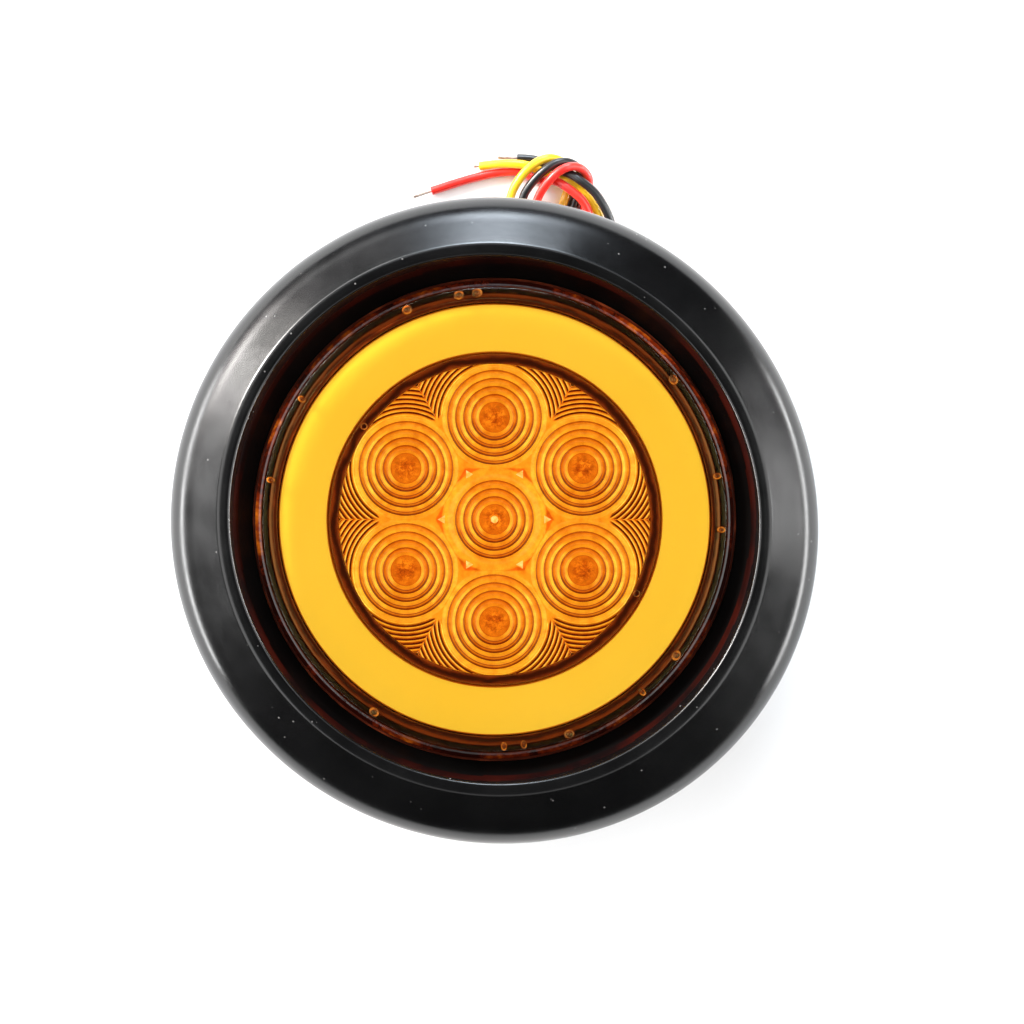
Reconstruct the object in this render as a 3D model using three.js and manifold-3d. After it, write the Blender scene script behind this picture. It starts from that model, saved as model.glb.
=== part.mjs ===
// A round trailer tail light, 4 inch class, in its rubber grommet, with its three-wire pigtail plugged in.
// Millimetres, +Z up. The light lies on its back: the lens faces +Z, the plug stands on z = 0, and the
// wires lie on that surface past the grommet's +Y edge. The origin is under the centre of the lens.
import * as THREE from "three";
import { mergeVertices } from "three/addons/utils/BufferGeometryUtils.js";
import Module from "manifold-3d";

const wasm = await Module();
wasm.setup();

// ---- driving dimensions -------------------------------------------------------------------------
const ROUND = 60; // facets round the large rings
const GAP = 0.3; // running gap between neighbouring pieces

const PANEL_HOLE_R = 57.15; // the grommet fits a 114.3 mm (4.5 inch) hole
const PANEL_SLOT = 3.2; // thickness of panel that the grommet's groove takes
const GROMMET_R = 68.5;
const GROMMET_REAR_Z = 7.5;
const PANEL_FRONT_Z = 32.5; // the front flange's back face, which bears on the panel
const CREST_Z = 45.5; // the grommet's front lip

const FLANGE_R = 54.5; // lens and housing flanges, held in the grommet's inner groove
const FLANGE_Z = 35.05; // joint line between lens and housing
const LENS_TOP_Z = 43.5;
const LENS_WALL = 2.6;
const LENS_R = 48.9;

const HOUSING_R = 50.0;
const HOUSING_REAR_Z = 11.0;
const BOARD_Z = 28.6; // underside of the circuit board
const BOARD_THICK = 1.6;
const BOARD_R = 45.2;

const HALO_OUTER_R = 45.3;
const HALO_INNER_R = 34.9;
const HALO_TOP_Z = 40.3;
const HALO_LED_R = 40.2;
const HALO_LEDS = 12;

const REFLECTOR_R = 33.4;
const REFLECTOR_TOP_Z = 37.5;
const LED_RING_R = 21.4; // the six outer emitters stand on this circle
const OUTER_LEDS = 6;
const SCREW_R = 29;
const SCREWS = 3;

const SOCKET_LENGTH = 38; // the recess in the housing's back that takes the plug's nose
const SOCKET_WIDTH = 22;
const SOCKET_ROOF_Z = 20;
const PIN_R = 1.6;
const PIN_TIP_Z = 12;
const PINS = { marker: [-10, 0], ground: [0, 4], turn: [10, 0] };

const PLUG_LENGTH = 42;
const PLUG_WIDTH = 27;
const PLUG_SHOULDER_Z = 9.2;
const BOSS_END_Y = 20;
const WIRE_EXIT_Z = 4.2;
const WIRE_R = 0.95;
const WIRE_STEPS = 72;
const CORE_R = 0.3; // the bundle of bare strands
const CORE_LENGTHS = { yellow: 1.2, black: 4.2, red: 4.2 };

// ---- materials ----------------------------------------------------------------------------------
const paint = (color, roughness, metalness = 0) =>
  new THREE.MeshStandardMaterial({ color, roughness, metalness });
const RUBBER = paint(0x161616, 0.45);
const AMBER = paint(0xf08a10, 0.12);
const MILK = paint(0xffc62d, 0.5);
const SILVER = paint(0xd8d8d8, 0.2, 0.9);
const BLACK_PLASTIC = paint(0x1a1a1a, 0.5);
const BOARD_MASK = paint(0x12351c, 0.5);
const EMITTER = paint(0xf4e6b0, 0.3);
const STEEL = paint(0xb0b0b0, 0.3, 1);
const BRASS = paint(0xc9a24a, 0.3, 1);
const COPPER = paint(0xc8876a, 0.35, 1);
const EPOXY = paint(0x2b2b2b, 0.4);
const CHIP = paint(0x202020, 0.6);
const CERAMIC = paint(0xd9d2c0, 0.6);
const PLUG_VINYL = paint(0x202022, 0.6);
const YELLOW = paint(0xf6c31c, 0.4);
const BLACK = paint(0x17181a, 0.35);
const RED = paint(0xe2342e, 0.4);

const light = new THREE.Group();

function add(name, geometry, material, x = 0, y = 0, z = 0, turn = 0) {
  const mesh = new THREE.Mesh(geometry, material);
  mesh.name = name;
  mesh.position.set(x, y, z);
  mesh.rotation.z = turn;
  light.add(mesh);
}

// ---- shape helpers ------------------------------------------------------------------------------
const degrees = THREE.MathUtils.degToRad;

// A solid of revolution about Z from a closed outline of [radius, height] points.
function ring(outline, segments = ROUND) {
  const points = outline.map(([r, z]) => new THREE.Vector2(r, z));
  if (THREE.ShapeUtils.area(points) < 0) points.reverse();
  points.push(points[0].clone());
  return new THREE.LatheGeometry(points, segments).rotateX(Math.PI / 2);
}

// A solid of revolution whose outline starts and ends on the axis, listed from its foot to its top.
function turned(outline, segments = ROUND) {
  const points = outline.map(([r, z]) => new THREE.Vector2(r, z));
  return new THREE.LatheGeometry(points, segments).rotateX(Math.PI / 2);
}

const drum = (radius, low, high, segments = 16) =>
  turned([[0, low], [radius, low], [radius, high], [0, high]], segments);

// A flat bar with round ends, lying along X.
function stadium(length, width) {
  const half = (length - width) / 2;
  const shape = new THREE.Shape();
  shape.absarc(half, 0, width / 2, -Math.PI / 2, Math.PI / 2);
  shape.absarc(-half, 0, width / 2, Math.PI / 2, (Math.PI * 3) / 2);
  return shape;
}

const slab = (shape, low, high) =>
  new THREE.ExtrudeGeometry(shape, {
    depth: high - low,
    bevelEnabled: false,
    curveSegments: 8,
  }).translate(0, 0, low);

// A closed geometry as a manifold-3d solid, and back.
function solid(geometry) {
  const bare = geometry.index ? geometry.toNonIndexed() : geometry.clone();
  bare.deleteAttribute("normal");
  bare.deleteAttribute("uv");
  const merged = mergeVertices(bare, 1e-4);
  return new wasm.Manifold(
    new wasm.Mesh({
      numProp: 3,
      vertProperties: merged.attributes.position.array,
      triVerts: new Uint32Array(merged.index.array),
    }),
  );
}

function geometryOf(body) {
  const mesh = body.getMesh();
  return new THREE.BufferGeometry()
    .setAttribute("position", new THREE.BufferAttribute(mesh.vertProperties, 3))
    .setIndex(new THREE.BufferAttribute(mesh.triVerts, 1));
}

const cut = (geometry, ...tools) =>
  geometryOf(tools.reduce((body, tool) => body.subtract(solid(tool)), solid(geometry)));

const join = (geometry, ...others) =>
  geometryOf(others.reduce((body, other) => body.add(solid(other)), solid(geometry)));

// The points of a regular pattern: count places on a circle, the first at a start angle.
const places = (count, radius, start = 0) =>
  Array.from({ length: count }, (_, i) => {
    const angle = degrees(start + (360 / count) * i);
    return { x: radius * Math.cos(angle), y: radius * Math.sin(angle), angle };
  });

const arc = (cx, cz, radius, from, to, steps) =>
  Array.from({ length: steps + 1 }, (_, i) => {
    const angle = degrees(from + ((to - from) * i) / steps);
    return [cx + radius * Math.cos(angle), cz + radius * Math.sin(angle)];
  });

// ---- grommet ------------------------------------------------------------------------------------
// The rubber ring: an outer flange that covers the panel hole's edge, a groove for the panel, a rear
// rib that snaps through the hole, and an inner groove that grips the light's flange.
function grommet() {
  const slotBack = PANEL_FRONT_Z - PANEL_SLOT;
  const flangeRoom = FLANGE_R + 0.5;
  const lipR = 51.9;
  const lipZ = 38;
  const crestR = 57;
  const relief = 0.3; // step that keeps the seat's inner edge off the hole's burr
  return ring([
    [HOUSING_R + 0.6, GROMMET_REAR_Z],
    [54.4, GROMMET_REAR_Z],
    [55.2, GROMMET_REAR_Z + 1.5],
    [59.8, slotBack - 5],
    [59.8, slotBack],
    [PANEL_HOLE_R, slotBack],
    [PANEL_HOLE_R, PANEL_FRONT_Z + relief],
    [60.3, PANEL_FRONT_Z + relief],
    [60.3, PANEL_FRONT_Z],
    [GROMMET_R - 1.2, PANEL_FRONT_Z],
    ...arc(GROMMET_R - 1.9, PANEL_FRONT_Z + 1.9, 1.9, -50, 30, 3),
    [GROMMET_R - 1.1, 37.6],
    [GROMMET_R - 3.3, 40.1],
    [crestR + 1.1, 44.8],
    [crestR - 0.2, CREST_Z - 0.2],
    [crestR - 1.2, CREST_Z],
    [crestR - 1.9, CREST_Z - 0.5],
    [crestR - 3, CREST_Z - 2.6],
    [lipR + 0.6, lipZ + 1.8],
    [lipR, lipZ],
    [flangeRoom, lipZ],
    [flangeRoom, PANEL_FRONT_Z - 1.4],
    [HOUSING_R + 0.6, PANEL_FRONT_Z - 1.4],
  ]);
}

// ---- lens ---------------------------------------------------------------------------------------
// The amber cap: a crowned face, a drafted side wall and the flange that is welded to the housing.
function lens() {
  const crown = 0.5;
  const inner = LENS_R - 1.3;
  return turned([
    [0, LENS_TOP_Z - LENS_WALL],
    [inner - 0.6, LENS_TOP_Z - LENS_WALL - crown],
    [inner, LENS_TOP_Z - LENS_WALL - crown - 0.8],
    [inner + 0.1, FLANGE_Z + GAP / 2],
    [FLANGE_R, FLANGE_Z + GAP / 2],
    [FLANGE_R, FLANGE_Z + 2.3],
    [LENS_R + 1.3, FLANGE_Z + 2.5],
    [LENS_R + 0.9, FLANGE_Z + 4.2],
    [LENS_R + 0.1, FLANGE_Z + 6.9],
    [LENS_R - 0.5, LENS_TOP_Z - crown - 0.2],
    [LENS_R - 1.6, LENS_TOP_Z - crown + 0.05],
    [0, LENS_TOP_Z],
  ]);
}

// ---- halo diffuser ------------------------------------------------------------------------------
// A milky ring of upside-down U section over the ring of small emitters.
function haloDiffuser() {
  const foot = BOARD_Z + BOARD_THICK + GAP;
  const wall = 1.6;
  return ring([
    [HALO_INNER_R, foot],
    [HALO_INNER_R + wall, foot],
    [HALO_INNER_R + wall, HALO_TOP_Z - 2.6],
    [HALO_OUTER_R - wall, HALO_TOP_Z - 2.6],
    [HALO_OUTER_R - wall, foot],
    [HALO_OUTER_R, foot],
    [HALO_OUTER_R, HALO_TOP_Z - 0.5],
    [HALO_OUTER_R - 0.5, HALO_TOP_Z],
    [HALO_INNER_R + 0.5, HALO_TOP_Z],
    [HALO_INNER_R, HALO_TOP_Z - 0.5],
  ]);
}

// ---- reflector ----------------------------------------------------------------------------------
// A metallised block with seven flared cups, one over each emitter, and blind holes for its screws.
function reflector() {
  const low = BOARD_Z + BOARD_THICK + GAP;
  const block = drum(REFLECTOR_R, low, REFLECTOR_TOP_Z, ROUND);
  const cup = turned(
    [[0, low - 1], [3.9, low - 1], [4.6, low + 1.6], [7.0, low + 4], [10.2, REFLECTOR_TOP_Z], [10.2, REFLECTOR_TOP_Z + 1], [0, REFLECTOR_TOP_Z + 1]],
    24,
  );
  const centres = [{ x: 0, y: 0 }, ...places(OUTER_LEDS, LED_RING_R, 30)];
  const cups = centres.map(({ x, y }) => cup.clone().translate(x, y, 0));
  const holes = places(SCREWS, SCREW_R).map(({ x, y }) =>
    drum(1.3, low - 1, low + 4.6, 10).translate(x, y, 0),
  );
  return cut(block, ...cups, ...holes);
}

// ---- circuit board and what is soldered on it ---------------------------------------------------
function circuitBoard() {
  const top = BOARD_Z + BOARD_THICK;
  const holes = places(SCREWS, SCREW_R).map(({ x, y }) =>
    drum(1.4, BOARD_Z - 1, top + 1, 10).translate(x, y, 0),
  );
  return cut(drum(BOARD_R, BOARD_Z, top, ROUND), ...holes);
}

// A power emitter: a square carrier with a round silicone dome.
function powerLed() {
  const side = 4.6;
  const carrier = new THREE.BoxGeometry(side, side, 0.9).translate(0, 0, 0.45);
  const dome = turned([[0, 0.5], [1.7, 0.5], [1.7, 1.0], ...arc(0, 0.9, 1.7, 20, 90, 3)], 12);
  return join(carrier, dome);
}

const haloLed = () => new THREE.BoxGeometry(2.8, 3.5, 0.9).translate(0, 0, 0.45);

// A chip with a chamfered top, hung under the board.
function component(length, width, height) {
  const inset = 0.25;
  const half = new THREE.Shape([
    new THREE.Vector2(-length / 2, 0),
    new THREE.Vector2(length / 2, 0),
    new THREE.Vector2(length / 2, -height + inset),
    new THREE.Vector2(length / 2 - inset, -height),
    new THREE.Vector2(-length / 2 + inset, -height),
    new THREE.Vector2(-length / 2, -height + inset),
  ]);
  return new THREE.ExtrudeGeometry(half, { depth: width, bevelEnabled: false })
    .rotateX(Math.PI / 2)
    .translate(0, width / 2, 0);
}

// A pan-head screw, head down, whose shank runs up through the board into the reflector.
const boardScrew = () =>
  turned([[0, 0], [1.7, 0], [2.2, 0.5], [2.2, 1.6], [1.0, 1.6], [1.0, 7.2], [0.5, 7.9], [0, 7.9]], 12);

// ---- housing ------------------------------------------------------------------------------------
// The black cup behind the lens: flange, body, board ledge, and a recess in its back for the plug.
function housing() {
  const floor = HOUSING_REAR_Z + 2.5;
  const roofTop = SOCKET_ROOF_Z + 2;
  const cup = turned([
    [0, HOUSING_REAR_Z],
    [47.2, HOUSING_REAR_Z],
    [HOUSING_R, HOUSING_REAR_Z + 4],
    [HOUSING_R, 31.6],
    [FLANGE_R, 31.6],
    [FLANGE_R, FLANGE_Z - GAP / 2],
    [47.2, FLANGE_Z - GAP / 2],
    [47.2, 38.9],
    [46.6, 39.7],
    [45.7, 39.7],
    [45.7, BOARD_Z - GAP],
    [43.6, BOARD_Z - GAP],
    [43.0, floor],
    [0, floor],
  ]);
  const tower = slab(stadium(SOCKET_LENGTH + 6, SOCKET_WIDTH + 6), HOUSING_REAR_Z + 1, roofTop);
  const recess = slab(
    stadium(SOCKET_LENGTH + 2 * GAP, SOCKET_WIDTH + 2 * GAP),
    HOUSING_REAR_Z - 1,
    SOCKET_ROOF_Z,
  );
  const pinHoles = Object.values(PINS).map(([x, y]) =>
    drum(PIN_R + GAP, SOCKET_ROOF_Z - 1, roofTop + 1, 12).translate(x, y, 0),
  );
  return cut(join(cup, tower), recess, ...pinHoles);
}

// The epoxy that seals the board in from behind, poured round the pins.
function potting() {
  const low = SOCKET_ROOF_Z + 2 + GAP;
  const holes = Object.values(PINS).map(([x, y]) =>
    drum(PIN_R + GAP, low - 1, low + 5, 12).translate(x, y, 0),
  );
  return cut(drum(42.8, low, low + 3.5, ROUND), ...holes);
}

const terminalPin = () =>
  turned([[0, PIN_TIP_Z], [PIN_R * 0.5, PIN_TIP_Z], [PIN_R, PIN_TIP_Z + 1.4], [PIN_R, BOARD_Z - GAP], [0, BOARD_Z - GAP]], 14);

// ---- plug ---------------------------------------------------------------------------------------
const SLEEVE_R = 2.6;
const SLEEVE_LOW_Z = 3;
const NOSE_TOP_Z = SOCKET_ROOF_Z - 0.5;

// The moulded plug: a flat body that stands on z = 0, a nose for the socket and a boss for the wires.
function plugBody() {
  const body = new THREE.ExtrudeGeometry(stadium(PLUG_LENGTH - 2, PLUG_WIDTH - 2), {
    depth: PLUG_SHOULDER_Z - 2,
    bevelThickness: 1,
    bevelSize: 1,
    bevelSegments: 1,
    curveSegments: 8,
  }).translate(0, 0, 1);
  const nose = slab(stadium(SOCKET_LENGTH, SOCKET_WIDTH), PLUG_SHOULDER_Z - 1, NOSE_TOP_Z);
  const bossOutline = new THREE.Shape([
    new THREE.Vector2(-10.5, 8),
    new THREE.Vector2(10.5, 8),
    new THREE.Vector2(8.2, BOSS_END_Y),
    new THREE.Vector2(-8.2, BOSS_END_Y),
  ]);
  const boss = slab(bossOutline, 1.4, 7.0);
  const bores = Object.values(PINS).map(([x, y]) =>
    drum(SLEEVE_R + GAP, SLEEVE_LOW_Z, NOSE_TOP_Z + 1, 14).translate(x, y, 0),
  );
  return cut(join(body, nose, boss), ...bores);
}

// A sprung brass sleeve that grips one pin.
const sleeve = () =>
  ring(
    [
      [PIN_R + GAP, SLEEVE_LOW_Z + GAP],
      [SLEEVE_R, SLEEVE_LOW_Z + GAP],
      [SLEEVE_R, NOSE_TOP_Z - 0.6],
      [PIN_R + GAP, NOSE_TOP_Z - 0.6],
    ],
    14,
  );

// ---- wires --------------------------------------------------------------------------------------
// Each wire leaves the plug, runs out under the grommet, turns over to the left, comes back under the
// light, turns again and ends in a stripped tail that is tucked under its own loop.
const WIRE_ROUTES = {
  yellow: [
    [-4.6, 20.3, WIRE_EXIT_Z], [-4.6, 23.5, 3.9], [-3.5, 30, 2.3], [-0.6, 38, 1.2], [4.4, 47, 1.0],
    [9.4, 55.5, 1.0], [12.8, 62.5, 1.0], [14.7, 68, 1.0], [15.7, 71, 1.0], [16.3, 73.0, 1.0],
    [16.55, 74.8, 1.15], [16.2, 76.4, 1.7], [15.3, 77.7, 2.6], [13.8, 78.5, 3.5], [12.1, 78.8, 4.1],
    [10.4, 78.4, 4.5], [8.5, 77.3, 4.7], [6.5, 75.5, 4.6], [4.8, 73.2, 4.2], [3.6, 70.6, 3.8],
    [2.9, 67, 3.4], [2.5, 61, 3.3], [3.6, 55.2, 3.3], [7.2, 51.0, 3.4], [12.2, 49.9, 3.4],
    [17.0, 51.4, 3.4], [20.6, 55.2, 3.4], [22.7, 60, 3.4], [23.1, 64.2, 3.5], [22.4, 67.1, 3.6],
    [21.0, 69.4, 3.7], [19.4, 71.2, 3.7], [17.7, 72.6, 3.6], [16.0, 73.6, 3.3], [14.4, 74.3, 2.6],
    [12.4, 75.0, 1.8], [10.5, 75.9, 1.6], [8.9, 76.7, 2.0], [7.0, 77.3, 2.5], [5.0, 77.6, 2.5],
    [1.6, 77.7, 2.1], [-3.3, 77.3, 1.2],
  ],
  black: [
    [0, 20.3, WIRE_EXIT_Z], [0, 23.5, 3.9], [1.0, 30, 2.3], [3.8, 38, 1.2], [8.4, 47, 1.0],
    [12.8, 55.5, 1.0], [15.6, 62.5, 1.0], [17.1, 68, 1.0], [18.1, 71.0, 1.0], [18.8, 73.3, 1.5],
    [19.0, 75.0, 2.3], [18.4, 76.5, 3.3], [17.1, 77.5, 4.3], [15.4, 77.9, 5.0], [13.5, 77.6, 5.4],
    [11.7, 76.6, 5.5], [9.7, 75.0, 5.1], [7.9, 73.0, 4.6], [6.4, 70.6, 4.0], [5.6, 66.5, 3.6],
    [5.4, 61, 3.6], [6.6, 56.4, 4.4], [8.9, 52.4, 5.4], [12.2, 49.3, 5.7], [16.0, 47.9, 5.1],
    [20.4, 49.2, 4.2], [23.6, 53.2, 3.7], [25.5, 58, 3.8], [25.9, 62, 4.3], [25.3, 64.7, 4.9],
    [24.4, 67.0, 5.3], [23.3, 69.0, 5.6], [21.9, 71.0, 5.7], [20.2, 72.6, 5.7], [18.5, 73.9, 5.6],
    [16.9, 75.0, 5.1], [15.3, 75.7, 4.3], [13.8, 76.4, 3.0], [12.3, 77.2, 1.9], [10.8, 78.0, 1.3],
    [9.2, 78.6, 1.05], [7.2, 78.9, 1.0], [4.9, 79.0, 1.0],
  ],
  red: [
    [4.6, 20.3, WIRE_EXIT_Z], [4.6, 23.5, 3.9], [5.5, 30, 2.3], [8.2, 38, 1.2], [12.3, 47, 1.0],
    [16.2, 55.5, 1.0], [18.3, 62, 1.0], [19.3, 66.5, 1.0], [19.9, 69, 1.1], [20.3, 71, 1.5],
    [20.6, 72.8, 2.4], [20.5, 74.4, 3.6], [19.7, 75.7, 4.8], [18.5, 76.5, 5.8], [17.0, 76.75, 6.5],
    [15.4, 76.35, 6.9], [13.85, 75.5, 6.8], [12.2, 74.0, 6.4], [10.8, 72.3, 5.7], [9.6, 70.3, 4.8], [8.5, 66.5, 3.8],
    [8.6, 61.5, 3.5], [10.8, 57.6, 3.5], [14.5, 56.2, 3.5], [18.0, 57.8, 3.6], [20.1, 61.2, 4.0],
    [20.7, 64.8, 4.7], [20.1, 67.8, 5.2], [18.8, 69.8, 5.4], [17.2, 71.2, 5.4], [15.6, 72.4, 5.2],
    [14.0, 73.4, 4.6], [12.3, 73.9, 3.7], [10.6, 74.0, 2.8], [8.9, 74.4, 1.9], [7.0, 75.4, 1.3],
    [4.9, 76.0, 1.0], [2.8, 76.0, 1.0], [0.8, 75.8, 1.0], [-1.9, 75.3, 1.0], [-5.2, 74.5, 1.0],
    [-8.6, 73.5, 1.0], [-12.0, 72.4, 1.0], [-13.8, 71.8, 1.0],
  ],
};

const routeCurve = (points) =>
  new THREE.CatmullRomCurve3(points.map((p) => new THREE.Vector3(...p)));

function wire(points) {
  const section = new THREE.Shape();
  section.absarc(0, 0, WIRE_R, 0, Math.PI * 2);
  return new THREE.ExtrudeGeometry(section, {
    steps: WIRE_STEPS,
    curveSegments: 4,
    extrudePath: routeCurve(points),
  });
}

// The bare strands straight on from a wire's stripped end.
function bareCore(points, length) {
  const end = new THREE.Vector3(...points.at(-1));
  const along = routeCurve(points).getTangent(1);
  const core = new THREE.CylinderGeometry(CORE_R, CORE_R, length, 8);
  core.translate(0, length / 2 + GAP, 0);
  core.applyQuaternion(new THREE.Quaternion().setFromUnitVectors(new THREE.Vector3(0, 1, 0), along));
  return core.translate(end.x, end.y, end.z);
}

// ---- assembly -----------------------------------------------------------------------------------
const boardTop = BOARD_Z + BOARD_THICK + GAP;

add("grommet", grommet(), RUBBER);
add("lens", lens(), AMBER);
add("halo_diffuser", haloDiffuser(), MILK);
add("reflector", reflector(), SILVER);
add("circuit_board", circuitBoard(), BOARD_MASK);
add("housing", housing(), BLACK_PLASTIC);
add("potting", potting(), EPOXY);

add("led_center", powerLed(), EMITTER, 0, 0, boardTop);
places(OUTER_LEDS, LED_RING_R, 30).forEach(({ x, y }, i) =>
  add(`led_outer_${i + 1}`, powerLed(), EMITTER, x, y, boardTop),
);
places(HALO_LEDS, HALO_LED_R, 15).forEach(({ x, y, angle }, i) =>
  add(`halo_led_${i + 1}`, haloLed(), EMITTER, x, y, boardTop, angle),
);
places(SCREWS, SCREW_R).forEach(({ x, y }, i) =>
  add(`board_screw_${i + 1}`, boardScrew(), STEEL, x, y, BOARD_Z - GAP - 1.6),
);

const underBoard = BOARD_Z - GAP;
add("driver_chip", component(5, 4, 1.6), CHIP, -20, 14, underBoard);
add("polarity_diode", component(4.6, 2.7, 2.1), CHIP, 20, 14, underBoard);
add("resistor_1", component(6.3, 3.2, 0.7), CERAMIC, -20, -14, underBoard);
add("resistor_2", component(6.3, 3.2, 0.7), CERAMIC, 20, -14, underBoard);

add("plug_body", plugBody(), PLUG_VINYL);
for (const [name, [x, y]] of Object.entries(PINS)) {
  add(`pin_${name}`, terminalPin(), BRASS, x, y);
  add(`sleeve_${name}`, sleeve(), BRASS, x, y);
}

const INSULATION = { yellow: YELLOW, black: BLACK, red: RED };
for (const [name, points] of Object.entries(WIRE_ROUTES)) {
  add(`wire_${name}`, wire(points), INSULATION[name]);
  add(`strands_${name}`, bareCore(points, CORE_LENGTHS[name]), COPPER);
}

export default light;
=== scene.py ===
import math

import bmesh
import bpy
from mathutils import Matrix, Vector


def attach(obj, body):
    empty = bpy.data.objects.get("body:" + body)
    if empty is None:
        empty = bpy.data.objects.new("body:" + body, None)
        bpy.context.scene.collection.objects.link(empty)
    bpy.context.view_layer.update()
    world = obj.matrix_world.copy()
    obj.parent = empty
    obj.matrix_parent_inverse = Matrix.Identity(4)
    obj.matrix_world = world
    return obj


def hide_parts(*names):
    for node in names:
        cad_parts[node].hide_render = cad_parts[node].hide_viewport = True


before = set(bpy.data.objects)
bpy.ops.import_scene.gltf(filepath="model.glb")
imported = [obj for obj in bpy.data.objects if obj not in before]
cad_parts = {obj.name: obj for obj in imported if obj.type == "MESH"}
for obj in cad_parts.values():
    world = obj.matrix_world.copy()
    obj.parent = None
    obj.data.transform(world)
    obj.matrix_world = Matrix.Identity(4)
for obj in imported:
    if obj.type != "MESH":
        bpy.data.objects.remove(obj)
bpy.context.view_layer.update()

# Lengths are in millimetres until they are multiplied by this.
MM = 0.001
scene = bpy.context.scene
scene.view_settings.view_transform = "Standard"

# ---- camera -------------------------------------------------------------------------------------
CAMERA_HEIGHT = 0.934
FOCAL_MM = 150.0

camera_data = bpy.data.cameras.new("camera")
camera_data.lens = FOCAL_MM
camera_data.sensor_width = 36
camera_data.shift_x = 0.0171
camera_data.shift_y = 0.0073
camera = bpy.data.objects.new("camera", camera_data)
camera.location = (0, 0, CAMERA_HEIGHT)
scene.collection.objects.link(camera)
scene.camera = camera


# ---- materials ----------------------------------------------------------------------------------
# Sockets of the colour Mix node, which has several of the same name.
MIX_A = 6
MIX_B = 7
MIX_RESULT = 2


class Paint:
    """A node material: makes nodes, links them, and keeps the Principled shader at hand."""

    def __init__(self, name, color=(0.8, 0.8, 0.8), roughness=0.5, metallic=0.0):
        self.material = bpy.data.materials.new(name)
        self.material.use_nodes = True
        self.tree = self.material.node_tree
        self.shader = self.tree.nodes["Principled BSDF"]
        self.output = self.tree.nodes["Material Output"]
        self.set("Base Color", (*color, 1))
        self.set("Roughness", roughness)
        self.set("Metallic", metallic)

    def set(self, socket, value):
        """Give the shader one value all over."""
        self.shader.inputs[socket].default_value = value

    def node(self, kind, **inputs):
        made = self.tree.nodes.new(kind)
        for key, value in inputs.items():
            made.inputs[key.replace("_", " ")].default_value = value
        return made

    def link(self, source, target):
        self.tree.links.new(source, target)

    def place(self):
        """The object's own coordinates, in metres."""
        return self.node("ShaderNodeTexCoord").outputs["Object"]

    def noise(self, scale, detail=3.0, roughness=0.5):
        """A soft cloud of 0 to 1; scale is in clouds to the metre."""
        made = self.node("ShaderNodeTexNoise", Scale=scale, Detail=detail, Roughness=roughness)
        self.link(self.place(), made.inputs["Vector"])
        return made.outputs["Fac"]

    def ramp(self, source, stops):
        """A colour for each value, from (position, colour) stops."""
        made = self.node("ShaderNodeValToRGB")
        ramp = made.color_ramp
        while len(ramp.elements) < len(stops):
            ramp.elements.new(0.5)
        for element, (position, color) in zip(ramp.elements, stops):
            element.position = position
            element.color = (*color, 1)
        self.link(source, made.inputs["Fac"])
        return made.outputs["Color"]

    def spread(self, source, low, high, start=0.0, end=1.0):
        """Map a 0..1 value onto low..high."""
        made = self.node("ShaderNodeMapRange")
        made.inputs["From Min"].default_value = start
        made.inputs["From Max"].default_value = end
        made.inputs["To Min"].default_value = low
        made.inputs["To Max"].default_value = high
        self.link(source, made.inputs["Value"])
        return made.outputs["Result"]

    def times(self, color, other):
        """The product of two colours."""
        made = self.node("ShaderNodeMix")
        made.data_type = "RGBA"
        made.blend_type = "MULTIPLY"
        made.inputs["Factor"].default_value = 1.0
        self.link(color, made.inputs[MIX_A])
        self.link(other, made.inputs[MIX_B])
        return made.outputs[MIX_RESULT]

    def bump(self, height, distance, strength=1.0):
        """Roughen the surface by a height of 0 to 1 times a distance in metres."""
        made = self.node("ShaderNodeBump", Strength=strength, Distance=distance)
        self.link(height, made.inputs["Height"])
        self.link(made.outputs["Normal"], self.shader.inputs["Normal"])

    def mottle(self, scale, color, other, roughness=None):
        """Vary the base colour, and the roughness if asked, with one soft noise."""
        cloud = self.noise(scale)
        tone = self.ramp(cloud, [(0.35, color), (0.65, other)])
        self.link(tone, self.shader.inputs["Base Color"])
        if roughness:
            self.link(self.spread(cloud, *roughness), self.shader.inputs["Roughness"])


RUBBER_BLACK = (0.0016, 0.0016, 0.0017)
DUST = (0.16, 0.155, 0.15)


def rubber():
    """Black moulded rubber: uneven sheen, fine grain and a little dust."""
    paint = Paint("rubber_black", RUBBER_BLACK, 0.22)
    cloud = paint.noise(60, 5, 0.6)
    dust = paint.node("ShaderNodeTexVoronoi", Scale=420.0)
    paint.link(paint.place(), dust.inputs["Vector"])
    patch = paint.noise(160, 2)
    fleck = paint.spread(dust.outputs["Distance"], 1, 0, 0.05, 0.1)
    thin = paint.spread(patch, 0, 1, 0.53, 0.57)
    both = paint.node("ShaderNodeMath")
    both.operation = "MULTIPLY"
    paint.link(fleck, both.inputs[0])
    paint.link(thin, both.inputs[1])
    mix = paint.node("ShaderNodeMix")
    mix.data_type = "RGBA"
    mix.inputs[MIX_A].default_value = (*RUBBER_BLACK, 1)
    mix.inputs[MIX_B].default_value = (*DUST, 1)
    paint.link(both.outputs["Value"], mix.inputs["Factor"])
    paint.link(mix.outputs[MIX_RESULT], paint.shader.inputs["Base Color"])
    paint.link(paint.spread(cloud, 0.17, 0.27, 0.3, 0.7), paint.shader.inputs["Roughness"])
    paint.bump(paint.noise(520, 3, 0.6), 0.00004, 0.25)
    return paint.material


def funnel_rubber(name, color, other):
    """Rubber for the grommet's inner slope, duller than its outside, with painted light in its colour: one
    copy is darker, as painted shade in the funnel, and one is red, as a painted glow from the lens by the
    lip.
    """
    paint = Paint(name, color, 0.35)
    paint.mottle(90, color, other, (0.3, 0.42))
    paint.set("Specular IOR Level", 0.12)
    return paint.material


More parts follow.
